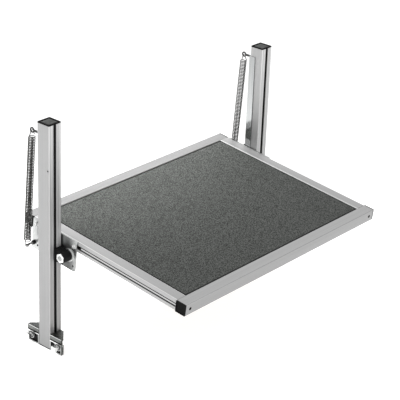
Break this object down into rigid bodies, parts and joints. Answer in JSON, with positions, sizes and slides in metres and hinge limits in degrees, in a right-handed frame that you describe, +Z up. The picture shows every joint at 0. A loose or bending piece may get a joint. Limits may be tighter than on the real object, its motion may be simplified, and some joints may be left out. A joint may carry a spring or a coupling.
{
  "type": "footrest",
  "caption": "Framed platform that climbs between slotted posts and grips them by canting, with long balance springs and foot brackets.",
  "frame": {"origin": "midway between the two posts, on the plane of their feet and on the posts' centre plane; a bench holds the part there", "axes": "+X across to the user's right, +Y from the front towards the rear, +Z up along the posts"},
  "size_m": [0.854, 0.5349, 0.6],
  "materials": {
    "anodised_profile": "satin anodised, fine draw lines along the profile",
    "black_plastic": "fine moulded grain",
    "wear_strip": "cold rolled, lightly rubbed",
    "bright_zinc": "bright zinc plated",
    "die_cast": "dark grey, slightly grainy",
    "black_screw": "black oxide",
    "spring_steel": "drawn wire",
    "cover_strip": "light grey, smooth",
    "board": "dense particle board",
    "rubber_mat": "dark grey with fine speckle",
    "side_plate": "satin rolled sheet"
  },
  "bodies": {
    "stand": {"left_post": "anodised_profile", "right_post": "anodised_profile", "post_top_caps": "black_plastic", "post_foot_caps": "black_plastic", "left_wear_strip": "wear_strip", "right_wear_strip": "wear_strip", "strip_screws": "bright_zinc", "strip_slot_nuts": "bright_zinc", "left_eye_bolt": "bright_zinc", "right_eye_bolt": "bright_zinc", "eye_bolt_nuts": "bright_zinc", "left_front_bracket": "die_cast", "left_rear_bracket": "die_cast", "right_front_bracket": "die_cast", "right_rear_bracket": "die_cast", "bracket_post_screws": "black_screw", "bracket_post_nuts": "bright_zinc", "bracket_bench_screws": "bright_zinc", "bracket_bench_nuts": "bright_zinc", "left_spring": "spring_steel", "right_spring": "spring_steel"},
    "carriage": {"left_rear_pad": "black_plastic", "right_rear_pad": "black_plastic"},
    "platform": {"front_rail": "anodised_profile", "rear_rail": "anodised_profile", "left_side_rail": "anodised_profile", "right_side_rail": "anodised_profile", "rail_end_caps": "black_plastic", "left_cover_strip": "cover_strip", "right_cover_strip": "cover_strip", "corner_screws": "bright_zinc", "board": "board", "rubber_mat": "rubber_mat", "left_side_plate": "side_plate", "right_side_plate": "side_plate", "plate_screws": "bright_zinc", "plate_slot_nuts": "bright_zinc", "pad_bolts": "bright_zinc", "left_shoe_bolt": "bright_zinc", "right_shoe_bolt": "bright_zinc", "shoe_washers": "bright_zinc", "shoe_bolt_nuts": "bright_zinc", "left_spring_pin": "bright_zinc", "right_spring_pin": "bright_zinc", "spring_pin_nuts": "black_screw"},
    "left_shoe": {"left_front_shoe": "black_plastic"},
    "right_shoe": {"right_front_shoe": "black_plastic"}
  },
  "joints": [
    {"name": "height", "type": "slide", "parent": "stand", "child": "carriage", "axis": [0, 0, 1], "range_m": [-0.16, 0.03], "deforming": ["left_spring", "right_spring"]},
    {"name": "tilt_release", "type": "hinge", "parent": "carriage", "child": "platform", "pos_m": [0, 0.0323, 0.297], "axis": [-1, 0, 0], "range_deg": [0, 8]},
    {"name": "left_shoe_swivel", "type": "hinge", "parent": "platform", "child": "left_shoe", "pos_m": [-0.38, -0.041, 0.25712], "axis": [-1, 0, 0], "range_deg": [-8, 0]},
    {"name": "right_shoe_swivel", "type": "hinge", "parent": "platform", "child": "right_shoe", "pos_m": [0.38, -0.041, 0.25712], "axis": [-1, 0, 0], "range_deg": [-8, 0]}
  ],
  "couplings": [
    {"joint": "left_shoe_swivel", "follows": "tilt_release", "ratio": -1},
    {"joint": "right_shoe_swivel", "follows": "tilt_release", "ratio": -1}
  ]
}
